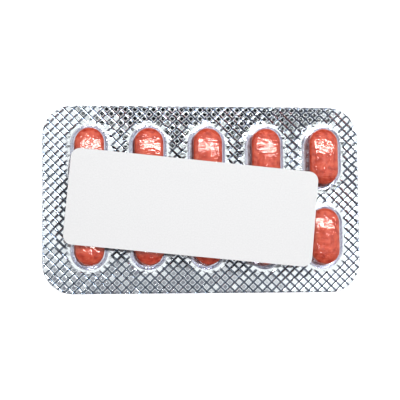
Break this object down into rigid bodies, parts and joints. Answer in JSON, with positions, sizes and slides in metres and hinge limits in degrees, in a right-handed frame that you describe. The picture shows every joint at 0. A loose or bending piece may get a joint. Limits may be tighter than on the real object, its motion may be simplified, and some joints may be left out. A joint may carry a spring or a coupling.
{
  "type": "blister pack of tablets",
  "caption": "Flat blister pack: diamond-embossed foil sealed to a clear film with pockets, a capsule-shaped tablet in each, and a blank label laid askew across them.",
  "frame": {"origin": "middle of the pack's outline, at the underside of the foil, where the pack rests on a table", "axes": "+X along the pack's long side, to the right of the picture; +Y across the pack, to the top of the picture; +Z out of the pack on the side of the pockets"},
  "size_m": [0.096, 0.0564, 0.0072],
  "materials": {
    "foil": "bright foil, embossed all over with small diamonds",
    "clear_film": "clear, glossy, colourless",
    "tablet_coat": "orange-red film coat, satin",
    "label_paper": "plain white, matt"
  },
  "bodies": {
    "root": {"foil_lidding": "foil", "blister_film": "clear_film", "tablet_far_1": "tablet_coat", "tablet_far_2": "tablet_coat", "tablet_far_3": "tablet_coat", "tablet_far_4": "tablet_coat", "tablet_far_5": "tablet_coat", "tablet_near_1": "tablet_coat", "tablet_near_2": "tablet_coat", "tablet_near_3": "tablet_coat", "tablet_near_4": "tablet_coat", "tablet_near_5": "tablet_coat", "blank_label": "label_paper"}
  },
  "joints": []
}
